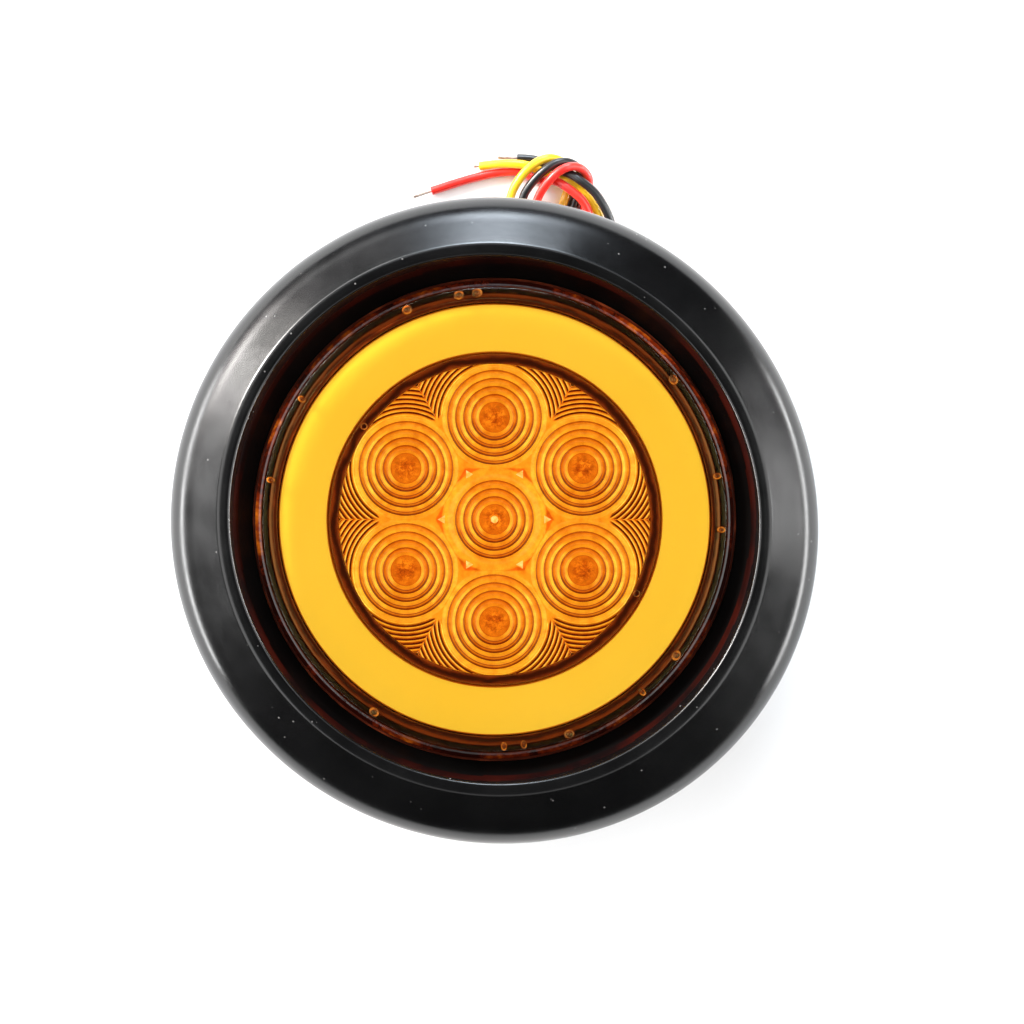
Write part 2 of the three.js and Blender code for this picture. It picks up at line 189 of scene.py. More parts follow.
def moulded(name, color, other, roughness, grain=1400, depth=0.00003):
    """Plastic as it comes from the mould, mottled and finely grained."""
    paint = Paint(name, color, roughness)
    paint.mottle(60, color, other, (roughness - 0.05, roughness + 0.08))
    paint.bump(paint.noise(grain, 3), depth, 0.7)
    return paint.material


def amber_cover():
    """Clear amber plastic: lets tinted light through and mirrors a little of what is in front."""
    paint = Paint("amber_cover", (1, 0.5, 0.05), 0.05)
    paint.tree.nodes.remove(paint.shader)
    clear = paint.node("ShaderNodeBsdfTransparent")
    clear.inputs["Color"].default_value = (1.0, 0.88, 0.5, 1)
    gloss = paint.node("ShaderNodeBsdfGlossy")
    gloss.inputs["Color"].default_value = (1, 1, 1, 1)
    cloud = paint.noise(35, 2)
    paint.link(paint.spread(cloud, 0.03, 0.08), gloss.inputs["Roughness"])
    edge = paint.node("ShaderNodeFresnel")
    edge.inputs["IOR"].default_value = 1.45
    mix = paint.node("ShaderNodeMixShader")
    paint.link(edge.outputs["Fac"], mix.inputs["Fac"])
    paint.link(clear.outputs["BSDF"], mix.inputs[1])
    paint.link(gloss.outputs["BSDF"], mix.inputs[2])
    paint.link(mix.outputs["Shader"], paint.output.inputs["Surface"])
    return paint.material


def amber_inside():
    """The inner side of the clear face, which only tints."""
    paint = Paint("amber_inside")
    paint.tree.nodes.remove(paint.shader)
    clear = paint.node("ShaderNodeBsdfTransparent")
    clear.inputs["Color"].default_value = (1.0, 0.97, 0.9, 1)
    paint.link(clear.outputs["BSDF"], paint.output.inputs["Surface"])
    return paint.material


def amber_body():
    """The lens's wall and flange: dense amber over black, painted darker still as painted shade for the
    recesses they sit in, and ringed by faint moulding lines.
    """
    paint = Paint("amber_body", (0.05, 0.008, 0.002), 0.12)
    rings = paint.node("ShaderNodeTexWave", Scale=150.0, Distortion=3.5, Detail=3.0)
    rings.wave_type = "RINGS"
    rings.rings_direction = "Z"
    paint.link(paint.place(), rings.inputs["Vector"])
    stops = [
        (0.1, (0.05, 0.008, 0.003)),
        (0.5, (0.12, 0.020, 0.007)),
        (0.95, (0.24, 0.045, 0.012)),
    ]
    paint.link(paint.ramp(rings.outputs["Fac"], stops), paint.shader.inputs["Base Color"])
    paint.link(paint.spread(paint.noise(150), 0.1, 0.2), paint.shader.inputs["Roughness"])
    return paint.material


def amber_edge():
    """The lens's outer ledge, with painted light: flecks of light leaking out, painted as bright colour.
    The per-point tone attribute says how much.
    """
    paint = Paint("amber_edge", (0.6, 0.12, 0.006), 0.15)
    fine = paint.noise(330, 4, 0.7)
    broad = paint.noise(60, 1)
    both = paint.node("ShaderNodeMath")
    both.operation = "MULTIPLY"
    paint.link(fine, both.inputs[0])
    paint.link(broad, both.inputs[1])
    stops = [
        (0.2, (0.04, 0.004, 0.001)),
        (0.28, (0.26, 0.025, 0.003)),
        (0.42, (0.95, 0.22, 0.012)),
    ]
    share = paint.node("ShaderNodeAttribute")
    share.attribute_name = "painted_light_tone"
    lit = paint.ramp(share.outputs["Fac"], [(0, (0.12, 0.08, 0.06)), (1, (1.3, 1.3, 1.2))])
    color = paint.times(paint.ramp(both.outputs["Value"], stops), lit)
    paint.link(color, paint.shader.inputs["Base Color"])
    paint.bump(fine, 0.0002, 0.8)
    return paint.material


# Painted light: what the ring lenses' colour is multiplied by, from painted shade in a groove (0) through
# a slope (0.75) to a painted glint (1).
PAINTED_LIGHT_STOPS = [
    (0.0, (0.13, 0.04, 0.02)),
    (0.3, (0.4, 0.18, 0.08)),
    (0.55, (0.85, 0.66, 0.5)),
    (0.75, (1, 1, 1)),
    (0.88, (1.1, 1.45, 2.0)),
    (1, (1.2, 2.05, 5.5)),
]
# The farthest a point of a ring lens may be from its own centre, in mm.
CELL_SPAN = 16


def fresnel_plastic():
    """The ring lenses: orange, darkest over each emitter, yellower towards their rims, with painted glints
    over each emitter and a painted glow, as they emit light though no lamp lights them.
    """
    paint = Paint("amber_optic", (0.95, 0.45, 0.05), 0.12)
    radius = paint.node("ShaderNodeAttribute")
    radius.attribute_name = "cell_radius"
    along = paint.spread(radius.outputs["Fac"], 0, 1, 0, CELL_SPAN)
    stops = [
        (0.0, (0.74, 0.19, 0.010)),
        (0.12, (0.78, 0.22, 0.012)),
        (0.22, (0.88, 0.32, 0.020)),
        (0.45, (0.93, 0.40, 0.028)),
        (0.56, (0.98, 0.45, 0.040)),
        (0.66, (1.0, 0.49, 0.046)),
        (0.8, (1.0, 0.40, 0.034)),
        (1.0, (1.0, 0.38, 0.030)),
    ]
    # The per-point tone of painted light: painted shade in grooves and lower halves, painted glints on the
    # sides.
    painted_light_tone = paint.node("ShaderNodeAttribute")
    painted_light_tone.attribute_name = "painted_light_tone"
    dark = paint.ramp(painted_light_tone.outputs["Fac"], PAINTED_LIGHT_STOPS)
    cloud = paint.noise(520, 4, 0.6)
    shade = paint.ramp(cloud, [(0.3, (0.84, 0.68, 0.5)), (0.7, (1.08, 1.2, 1.35))])
    # The emitter's die under each cell, with painted glints: the brightest noise makes pale flecks.
    shards = paint.noise(620, 4, 0.8)
    die_stops = [(0.36, (0.5, 0.3, 0.3)), (0.5, (0.95, 0.85, 0.9)), (0.62, (1.4, 2.1, 3.0))]
    die_and_glints = paint.ramp(shards, die_stops)
    over_die = paint.spread(radius.outputs["Fac"], 1, 0, 1.2, 3.2)
    blend = paint.node("ShaderNodeMix")
    blend.data_type = "RGBA"
    blend.inputs[MIX_A].default_value = (1, 1, 1, 1)
    paint.link(over_die, blend.inputs["Factor"])
    paint.link(die_and_glints, blend.inputs[MIX_B])
    color = paint.times(paint.times(paint.ramp(along, stops), dark), shade)
    color = paint.times(color, blend.outputs[MIX_RESULT])
    paint.link(color, paint.shader.inputs["Base Color"])
    # Painted glow: the ring lenses emit light of their own colour.
    paint.link(color, paint.shader.inputs["Emission Color"])
    paint.set("Emission Strength", 0.2)
    paint.set("Specular IOR Level", 0.3)
    paint.set("Coat Weight", 0.2)
    paint.set("Coat Roughness", 0.1)
    return paint.material


def halo_plastic():
    """Milky ring in front of the ring emitters, with a painted glow: it emits light almost evenly, as if
    lit from inside, though no lamp is behind it.
    """
    paint = Paint("halo_milk", (0.95, 0.78, 0.13), 0.4)
    cloud = paint.noise(28, 2)
    color = paint.ramp(cloud, [(0.3, (0.925, 0.72, 0.115)), (0.7, (0.945, 0.75, 0.145))])
    paint.link(color, paint.shader.inputs["Base Color"])
    paint.link(color, paint.shader.inputs["Emission Color"])
    # Painted glow, though no lamp lights the ring.
    paint.set("Emission Strength", 0.26)
    return paint.material


def amber_mark():
    """The little moulded marks, with uneven light through the plastic painted into their colour."""
    paint = Paint("amber_mark", (0.4, 0.1, 0.02), 0.2)
    stops = [(0.36, (0.07, 0.010, 0.003)), (0.5, (0.40, 0.09, 0.018)), (0.62, (0.8, 0.28, 0.06))]
    color = paint.ramp(paint.noise(650), stops)
    paint.link(color, paint.shader.inputs["Base Color"])
    return paint.material


def amber_spark():
    """Small facets with a painted glint and glow: they emit light, though no lamp lights them."""
    paint = Paint("amber_spark", (1.0, 0.7, 0.3), 0.12)
    color = paint.ramp(paint.noise(900), [(0.35, (1.0, 0.52, 0.12)), (0.65, (1.0, 0.86, 0.6))])
    paint.link(color, paint.shader.inputs["Base Color"])
    # Painted glow and glint.
    paint.link(color, paint.shader.inputs["Emission Color"])
    paint.set("Emission Strength", 0.45)
    return paint.material


def metal(name, color, other, roughness):
    """Bare metal with a fine unevenness of tone and polish."""
    paint = Paint(name, color, roughness, 1.0)
    paint.mottle(900, color, other, (roughness - 0.06, roughness + 0.1))
    return paint.material


def insulation(name, color, other):
    """Soft wire covering with a slight gloss."""
    paint = Paint(name, color, 0.32)
    paint.mottle(220, color, other, (0.26, 0.4))
    paint.bump(paint.noise(700, 2), 0.00004, 0.4)
    paint.set("Coat Weight", 0.3)
    paint.set("Coat Roughness", 0.15)
    return paint.material


RUBBER = rubber()
COVER = amber_cover()
CLEAR = amber_inside()
BODY_AMBER = amber_body()
EDGE_AMBER = amber_edge()
OPTIC = fresnel_plastic()
HALO = halo_plastic()
HALO_SIDE = moulded("halo_side", (0.80, 0.20, 0.02), (0.95, 0.34, 0.03), 0.4)
HOUSING = moulded("housing_black", (0.014, 0.014, 0.015), (0.022, 0.022, 0.023), 0.42)
VINYL = moulded("plug_vinyl", (0.016, 0.016, 0.017), (0.026, 0.026, 0.027), 0.5, 900, 0.00005)
EPOXY = moulded("potting_epoxy", (0.012, 0.012, 0.012), (0.03, 0.028, 0.026), 0.25, 200, 0.0001)
MASK = moulded("board_mask", (0.012, 0.03, 0.016), (0.02, 0.05, 0.025), 0.4)
CHIP = moulded("chip_epoxy", (0.012, 0.012, 0.012), (0.02, 0.02, 0.02), 0.55)
CERAMIC = moulded("resistor_ceramic", (0.62, 0.6, 0.52), (0.75, 0.73, 0.66), 0.5)
EMITTER = moulded("emitter_silicone", (0.85, 0.62, 0.2), (0.95, 0.78, 0.4), 0.25)
SPARK = amber_spark()
MARK = amber_mark()
# Painted shade: the funnel's rubber, darker and duller than the outside.
FUNNEL_SHADE = funnel_rubber("rubber_funnel_shade", (0.0008, 0.0008, 0.0008), (0.0016, 0.0014, 0.0013))
# Painted glow: a red band by the lip for the lens's light.
PAINTED_GLOW = funnel_rubber("rubber_painted_glow", (0.022, 0.0022, 0.001), (0.003, 0.001, 0.001))
CHROME = metal("reflector_metal", (0.85, 0.85, 0.85), (0.95, 0.95, 0.95), 0.12)
STEEL = metal("screw_steel", (0.5, 0.5, 0.5), (0.65, 0.65, 0.65), 0.32)
BRASS = metal("terminal_brass", (0.62, 0.42, 0.16), (0.75, 0.55, 0.24), 0.28)
COPPER = metal("strand_copper", (0.36, 0.27, 0.22), (0.56, 0.48, 0.42), 0.38)
YELLOW = insulation("insulation_yellow", (0.90, 0.50, 0.012), (0.95, 0.58, 0.02))
BLACK = insulation("insulation_black", (0.008, 0.008, 0.009), (0.014, 0.014, 0.015))
RED = insulation("insulation_red", (0.72, 0.020, 0.014), (0.82, 0.035, 0.022))


# ---- mesh helpers -------------------------------------------------------------------------------
def piece(name, verts, faces, materials, body, replaces=(), smooth=32.0, indices=None):
    """A new mesh piece from points in metres, riding on a body and standing for CAD nodes."""
    mesh = bpy.data.meshes.new(name)
    mesh.from_pydata(verts, [], faces)
    for material in materials:
        mesh.materials.append(material)
    if indices:
        mesh.polygons.foreach_set("material_index", indices)
    mesh.validate()
    mesh.shade_smooth()
    mesh.set_sharp_from_angle(angle=math.radians(smooth))
    made = bpy.data.objects.new(name, mesh)
    scene.collection.objects.link(made)
    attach(made, body)
    if replaces:
        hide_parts(*replaces)
    return made


def rounded(outline, steps=4):
    """An outline of (r, z) or (r, z, radius) corners, with each stated radius made a fillet."""
    result = []
    count = len(outline)
    for i, corner in enumerate(outline):
        r, z = corner[0], corner[1]
        size = corner[2] if len(corner) > 2 else 0
        here = Vector((r, z))
        if not size:
            result.append(here)
            continue
        before = Vector(outline[i - 1][:2]) - here
        after = Vector(outline[(i + 1) % count][:2]) - here
        half = before.angle(after) / 2
        reach = min(size / math.tan(half), before.length * 0.49, after.length * 0.49)
        start = here + before.normalized() * reach
        end = here + after.normalized() * reach
        for k in range(steps + 1):
            t = k / steps
            result.append(start.lerp(here, t).lerp(here.lerp(end, t), t))
    return result


def lathe(outline, segments, closed=True, sway=None):
    """Verts and faces of an outline of (r, z) in mm turned about Z. sway moves a point at an angle."""
    verts = []
    faces = []
    count = len(outline)
    for k in range(segments):
        angle = 2 * math.pi * k / segments
        for r, z in outline:
            shift = sway(angle, r, z) if sway else 0
            radius = (r + shift) * MM
            verts.append((radius * math.cos(angle), radius * math.sin(angle), z * MM))
    last = count if closed else count - 1
    for k in range(segments):
        for i in range(last):
            a = k * count + i
            b = k * count + (i + 1) % count
            c = ((k + 1) % segments) * count + (i + 1) % count
            d = ((k + 1) % segments) * count + i
            faces.append((a, d, c, b))
    return verts, faces


def face_place(verts, face):
    """The mean distance from the axis and the mean height of a face's corners, in mm."""
    radius = sum(math.hypot(verts[v][0], verts[v][1]) for v in face) / len(face) / MM
    height = sum(verts[v][2] for v in face) / len(face) / MM
    return radius, height


def outward(made):
    """Turn every face of a closed piece to look outwards."""
    work = bmesh.new()
    work.from_mesh(made.data)
    bmesh.ops.remove_doubles(work, verts=work.verts, dist=1e-6)
    bmesh.ops.recalc_face_normals(work, faces=work.faces)
    work.to_mesh(made.data)
    work.free()


def catmull(points, steps):
    """The centripetal Catmull-Rom curve through the points, steps to each span."""
    points = [Vector(p) for p in points]
    first = points[0] * 2 - points[1]
    final = points[-1] * 2 - points[-2]
    extended = [first, *points, final]
    result = []
    for i in range(1, len(extended) - 2):
        p0, p1, p2, p3 = extended[i - 1 : i + 3]
        d0 = max((p1 - p0).length ** 0.5, 1e-6)
        d1 = max((p2 - p1).length ** 0.5, 1e-6)
        d2 = max((p3 - p2).length ** 0.5, 1e-6)
        t1 = ((p1 - p0) / d0 - (p2 - p0) / (d0 + d1) + (p2 - p1) / d1) * d1
        t2 = ((p2 - p1) / d1 - (p3 - p1) / (d1 + d2) + (p3 - p2) / d2) * d1
        for k in range(steps):
            t = k / steps
            c2 = -3 * p1 + 3 * p2 - 2 * t1 - t2
            c3 = 2 * p1 - 2 * p2 + t1 + t2
            result.append(p1 + t1 * t + c2 * t * t + c3 * t * t * t)
    result.append(points[-1])
    return result


def frames_along(path):
    """A tangent and a side direction at each point, turning as little as possible."""
    tangents = []
    for i in range(len(path)):
        ahead = path[min(i + 1, len(path) - 1)]
        behind = path[max(i - 1, 0)]
        tangents.append((ahead - behind).normalized())
    side = tangents[0].orthogonal().normalized()
    sides = [side]
    for i in range(1, len(path)):
        turn = tangents[i - 1].rotation_difference(tangents[i])
        side = (turn @ side).normalized()
        sides.append(side)
    return tangents, sides


def tube(path, radii, sides_count):
    """Verts and faces of a capped tube along a path, with a radius for each point."""
    tangents, sides = frames_along(path)
    verts = []
    faces = []
    for point, tangent, side, radius in zip(path, tangents, sides, radii):
        other = tangent.cross(side)
        for k in range(sides_count):
            angle = 2 * math.pi * k / sides_count
            verts.append(point + (side * math.cos(angle) + other * math.sin(angle)) * radius)
    for i in range(len(path) - 1):
        for k in range(sides_count):
            a = i * sides_count + k
            b = i * sides_count + (k + 1) % sides_count
            faces.append((a, b, b + sides_count, a + sides_count))
    faces.append(tuple(reversed(range(sides_count))))
    faces.append(tuple(range(len(verts) - sides_count, len(verts))))
    return verts, faces


# ---- wires --------------------------------------------------------------------------------------
WIRE_R = 0.95 * MM
STRAND_R = 0.1 * MM
STRANDS = 7
STRAND_STEPS = 15
# How far the bare strands stand out of each wire, in mm.
CORE_LENGTHS = {"yellow": 1.3, "black": 4.3, "red": 4.3}
WIRE_EXIT_Z = 4.2

# Points along each wire, in mm: out of the plug, over the loop, back under the light, to the tail.
WIRE_ROUTES = {
    "yellow": [
        (-4.6, 20.3, WIRE_EXIT_Z), (-4.6, 23.5, 3.9), (-3.5, 30, 2.3), (-0.6, 38, 1.2), (4.4, 47, 1.0),
        (9.4, 55.5, 1.0), (12.8, 62.5, 1.0), (14.7, 68, 1.0), (15.7, 71, 1.0), (16.3, 73.0, 1.0),
        (16.55, 74.8, 1.15), (16.2, 76.4, 1.7), (15.3, 77.7, 2.6), (13.8, 78.5, 3.5), (12.1, 78.8, 4.1),
        (10.4, 78.4, 4.5), (8.5, 77.3, 4.7), (6.5, 75.5, 4.6), (4.8, 73.2, 4.2), (3.6, 70.6, 3.8),
        (2.9, 67, 3.4), (2.5, 61, 3.3), (3.6, 55.2, 3.3), (7.2, 51.0, 3.4), (12.2, 49.9, 3.4),
        (17.0, 51.4, 3.4), (20.6, 55.2, 3.4), (22.7, 60, 3.4), (23.1, 64.2, 3.5), (22.4, 67.1, 3.6),
        (21.0, 69.4, 3.7), (19.4, 71.2, 3.7), (17.7, 72.6, 3.6), (16.0, 73.6, 3.3), (14.4, 74.3, 2.6),
        (12.4, 75.0, 1.8), (10.5, 75.9, 1.6), (8.9, 76.7, 2.0), (7.0, 77.3, 2.5), (5.0, 77.6, 2.5),
        (1.6, 77.7, 2.1), (-3.3, 77.3, 1.2),
    ],
    "black": [
        (0, 20.3, WIRE_EXIT_Z), (0, 23.5, 3.9), (1.0, 30, 2.3), (3.8, 38, 1.2), (8.4, 47, 1.0),
        (12.8, 55.5, 1.0), (15.6, 62.5, 1.0), (17.1, 68, 1.0), (18.1, 71.0, 1.0), (18.8, 73.3, 1.5),
        (19.0, 75.0, 2.3), (18.4, 76.5, 3.3), (17.1, 77.5, 4.3), (15.4, 77.9, 5.0), (13.5, 77.6, 5.4),
        (11.7, 76.6, 5.5), (9.7, 75.0, 5.1), (7.9, 73.0, 4.6), (6.4, 70.6, 4.0), (5.6, 66.5, 3.6),
        (5.4, 61, 3.6), (6.6, 56.4, 4.4), (8.9, 52.4, 5.4), (12.2, 49.3, 5.7), (16.0, 47.9, 5.1),
        (20.4, 49.2, 4.2), (23.6, 53.2, 3.7), (25.5, 58, 3.8), (25.9, 62, 4.3), (25.3, 64.7, 4.9),
        (24.4, 67.0, 5.3), (23.3, 69.0, 5.6), (21.9, 71.0, 5.7), (20.2, 72.6, 5.7), (18.5, 73.9, 5.6),
        (16.9, 75.0, 5.1), (15.3, 75.7, 4.3), (13.8, 76.4, 3.0), (12.3, 77.2, 1.9), (10.8, 78.0, 1.3),
        (9.2, 78.6, 1.05), (7.2, 78.9, 1.0), (4.9, 79.0, 1.0),
    ],
    "red": [
        (4.6, 20.3, WIRE_EXIT_Z), (4.6, 23.5, 3.9), (5.5, 30, 2.3), (8.2, 38, 1.2), (12.3, 47, 1.0),
        (16.2, 55.5, 1.0), (18.3, 62, 1.0), (19.3, 66.5, 1.0), (19.9, 69, 1.1), (20.3, 71, 1.5),
        (20.6, 72.8, 2.4), (20.5, 74.4, 3.6), (19.7, 75.7, 4.8), (18.5, 76.5, 5.8), (17.0, 76.75, 6.5),
        (15.4, 76.35, 6.9), (13.85, 75.5, 6.8), (12.2, 74.0, 6.4), (10.8, 72.3, 5.7), (9.6, 70.3, 4.8),
        (8.5, 66.5, 3.8), (8.6, 61.5, 3.5), (10.8, 57.6, 3.5), (14.5, 56.2, 3.5), (18.0, 57.8, 3.6),
        (20.1, 61.2, 4.0),
        (20.7, 64.8, 4.7), (20.1, 67.8, 5.2), (18.8, 69.8, 5.4), (17.2, 71.2, 5.4), (15.6, 72.4, 5.2),
        (14.0, 73.4, 4.6), (12.3, 73.9, 3.7), (10.6, 74.0, 2.8), (8.9, 74.4, 1.9), (7.0, 75.4, 1.3),
        (4.9, 76.0, 1.0), (2.8, 76.0, 1.0), (0.8, 75.8, 1.0), (-1.9, 75.3, 1.0), (-5.2, 74.5, 1.0),
        (-8.6, 73.5, 1.0), (-12.0, 72.4, 1.0), (-13.8, 71.8, 1.0),
    ],
}
INSULATION = {"yellow": YELLOW, "black": BLACK, "red": RED}


def strands(name, start, along):
    """Seven fine copper filaments twisted together, a little splayed at their tips."""
    side = along.orthogonal().normalized()
    other = along.cross(side)
    verts = []
    faces = []
    for k in range(STRANDS):
        turn = 2 * math.pi * k / (STRANDS - 1)
        path = []
        for i in range(STRAND_STEPS):
            t = i / (STRAND_STEPS - 1)
            reach = 0 if k == STRANDS - 1 else (0.19 + 0.06 * t * t) * MM
            angle = turn + 2.6 * t
            out = (side * math.cos(angle) + other * math.sin(angle)) * reach
            length = CORE_LENGTHS[name] * MM * (0.94 + 0.06 * math.sin(k * 2.3))
            path.append(start + along * (length * t) + out)
        radii = [STRAND_R] * (STRAND_STEPS - 1) + [STRAND_R * 0.7]
        new_verts, new_faces = tube(path, radii, 6)
        base = len(verts)
        verts += new_verts
        faces += [tuple(base + v for v in face) for face in new_faces]
    return piece(
        f"strands_{name}_twisted", verts, faces, [COPPER], "pigtail",
        (f"strands_{name}",), 50,
    )


def wire(name, route):
    """One insulated wire: its sheath, rounded over where it was stripped, and its strands."""
    points = [Vector(p) * MM for p in route]
    path = catmull(points, 6)
    radii = [WIRE_R] * len(path)
    along = (path[-1] - path[-2]).normalized()
    tip = path[-1]
    path[-1] = tip - along * (0.12 * MM)
    # The cut end's rounding, as (mm back from the tip, share of the wire's radius).
    rounding = [(0.04, 0.97), (0.0, 0.88), (0.0, 0.55)]
    for back, share in rounding:
        path.append(tip - along * (back * MM + 1e-7 * share))
        radii.append(WIRE_R * share)
    verts, faces = tube(path, radii, 16)
    sheath = piece(
        f"wire_{name}_sheath", verts, faces, [INSULATION[name]], "pigtail",
        (f"wire_{name}",), 40,
    )
    core = strands(name, tip, along)


for name, route in WIRE_ROUTES.items():
    wire(name, route)


# ---- grommet ------------------------------------------------------------------------------------
# The rubber's upper surface from the outer edge, up the flange, over the crest and down the funnel.
GROMMET_FACE = [
    (66.6, 32.5), (67.5, 32.75), (68.1, 33.5), (68.3, 34.7), (68.05, 36.1), (67.4, 37.6), (66.4, 39.0),
    (65.2, 40.1), (63.2, 41.43), (60.8, 43.04), (58.3, 44.72), (57.95, 44.95), (57.7, 45.08),
    (57.35, 45.17), (56.6, 45.23), (55.85, 45.25), (55.4, 45.17), (55.15, 44.95), (54.95, 44.6),
    (54.6, 43.9), (54.0, 42.6), (53.1, 40.9), (52.1, 39.4), (51.2, 38.4), (50.8, 38.0), (50.75, 37.7),
]
# Inside FUNNEL_R the rubber is duller; inside GLOW_R it is also painted darker as painted shade in the
# funnel, and outside GLOW_R it is painted red as a painted glow from the lens's light.
FUNNEL_R = 54.6
GLOW_R = 53.6
FUNNEL_FOOT_Z = 37.5


def grommet_sway(angle, r, z):
    """Moulded rubber isn't quite round: its outer edge and its lip waver by about half a millimetre."""
    if z < 32.4 or z < 37.6 and r < 60:
        return 0
    edge = 0.45 * math.cos(angle + math.radians(75)) + 0.5 * math.cos(2 * (angle + math.radians(42)))
    edge += 0.3 * math.cos(3 * (angle + math.radians(41))) - 0.1
    lip = 0.5 * math.cos(2 * (angle + math.radians(41)))
    inward = max(0, min(1, (r - 50.8) / 4))
    outward_share = max(0, min(1, (r - 56) / 9))
    return inward * lip * (1 - outward_share) + edge * outward_share


def grommet():
    """The rubber ring: its upper face, then its inner groove, bore, rear rib and panel groove."""
    face = [(p.x, p.y) for p in catmull([(r, z, 0) for r, z in GROMMET_FACE], 4)]
    back = [
        (50.75, 37.62), (55.0, 37.62), (55.0, 31.1, 0.4), (50.65, 31.1, 0.3), (50.65, 7.6, 0.4),
        (54.4, 7.6, 0.7), (55.3, 9.2, 1.2), (59.75, 24.4, 1.5), (59.75, 29.25, 0.5),
        (57.2, 29.25, 0.3), (57.2, 32.8, 0.3), (60.2, 32.8, 0.2), (60.4, 32.52, 0.2),
    ]
    outline = face + [(p.x, p.y) for p in rounded(back)]
    verts, faces = lathe(outline, 288, sway=grommet_sway)
    # The funnel's faces take the painted shade, and a band by the lip takes the painted red glow.
    outer, inner, warm = range(3)
    index = []
    for face in faces:
        radius, height = face_place(verts, face)
        if radius > FUNNEL_R or height < FUNNEL_FOOT_Z:
            index.append(outer)
        else:
            index.append(warm if radius > GLOW_R else inner)
    made = piece(
        "grommet_rubber", verts, faces, [RUBBER, FUNNEL_SHADE, PAINTED_GLOW], "lamp",
        ("grommet",), 35, index,
    )
    outward(made)


grommet()


# ---- lens ---------------------------------------------------------------------------------------
LENS_FACE_Z = 43.5
LENS_BACK_Z = 40.9  # the inner side of the face, where the ring lenses are moulded
OPTIC_R = 32.6
CELL_PITCH = 21.4
DOME_R = 3.2
DOME_RISE = 0.3
RING = 1.68
FINE_RING = 0.93
FINE_RINGS = 14
RING_COUNT = 4
CIRCLE_R = 10.9  # where a cell's round part ends
CHEVRON_R = 24.0  # distance from the axis beyond which the fine rings show
REST = 0.26  # depth of the relief between the rings
SLOPE_TONE = 0.76
SPIKE_R = 10.9

CELLS = [Vector((0, 0))]
for k in range(6):
    turn = math.radians(30 + 60 * k)
    CELLS.append(Vector((math.cos(turn), math.sin(turn))) * CELL_PITCH)


def cell_reach(centre, direction):
    """How far a ray runs from a cell's centre to its boundary: a neighbour's line, or the rim."""
    along = centre.dot(direction)
    reach = -along + math.sqrt(along * along - centre.length_squared + OPTIC_R * OPTIC_R)
    for other in CELLS:
        gap = other - centre
        toward = gap.dot(direction)
        if gap.length > 0 and toward > 1e-6:
            reach = min(reach, gap.length_squared / 2 / toward)
    return reach


def smooth_share(value, low, high):
    """0 below low, 1 above high, and an even climb between them."""
    return max(0, min(1, (value - low) / (high - low)))


def bead(start, pitch, depth, shade, step):
    """One ring of the relief as (radius, height, tone, glint, line): a convex slope, then a sharp step
    back up. Tone, glint and line are painted light: glint marks a painted highlight on its sides, and line
    marks painted shade on its lower half."""
    slope = pitch - step
    return [
        (start + 0.03, 0.0, 0.8, 0.6, 0), (start + slope * 0.1, depth * 0.015, 0.8, 1, 0),
        (start + slope * 0.34, depth * 0.1, 0.78, 1, 0), (start + slope * 0.46, depth * 0.19, 0.74, 0, 0),
        (start + slope * 0.54, depth * 0.27, 0.7, 0, 0),
        (start + slope * 0.62, depth * 0.36, 0.68, 0, 1),
        (start + slope * 0.72, depth * 0.50, 0.66, 0, 0.3),
        (start + slope * 0.88, depth * 0.78, 0.56, 0, 0.2),
        (start + slope, depth, shade, 0, 0.5), (start + pitch - 0.04, depth * 0.9, shade, 0, 0.5),
    ]


def relief(centre):
    """The rings of a cell, from its centre outwards: a shallow dome, broad beads, a flat, fine beads."""
    rings = [(0.001, 0.0, 0.75, 0, 0)]
    rings += [(r, DOME_RISE * (r / DOME_R) ** 2, 0.75, 0, 0) for r in (0.8, 1.6, 2.4)]
    rings += [(DOME_R - 0.15, 0.28, 0.62, 0, 0), (DOME_R - 0.02, REST, 0.5, 0, 0)]
    count = RING_COUNT if centre.length > 1 else RING_COUNT - 1
    for n in range(count):
        rings += bead(DOME_R + RING * n, RING, 0.42, 0.38, 0.2)
    edge = DOME_R + RING * count
    shoulder = ((0.03, 0.0), (0.35, 0.03), (0.7, 0.11), (0.98, 0.22), (1.5, 0.36), (2.2, 0.42))
    # The shoulder's tones carry a painted glint on its sides.
    for out, height in shoulder:
        if edge + out <= CIRCLE_R:
            rings.append((edge + out, height, 0.78, 0.35, 0))
    if count < RING_COUNT:
        rings += [(edge + 2.6, 0.36, 0.76, 0, 0), (edge + 4.5, 0.3, 0.76, 0, 0)]
    for n in range(FINE_RINGS):
        rings += bead(CIRCLE_R + 0.06 + FINE_RING * n, FINE_RING, 0.34, 0.0, 0.34)
    return rings


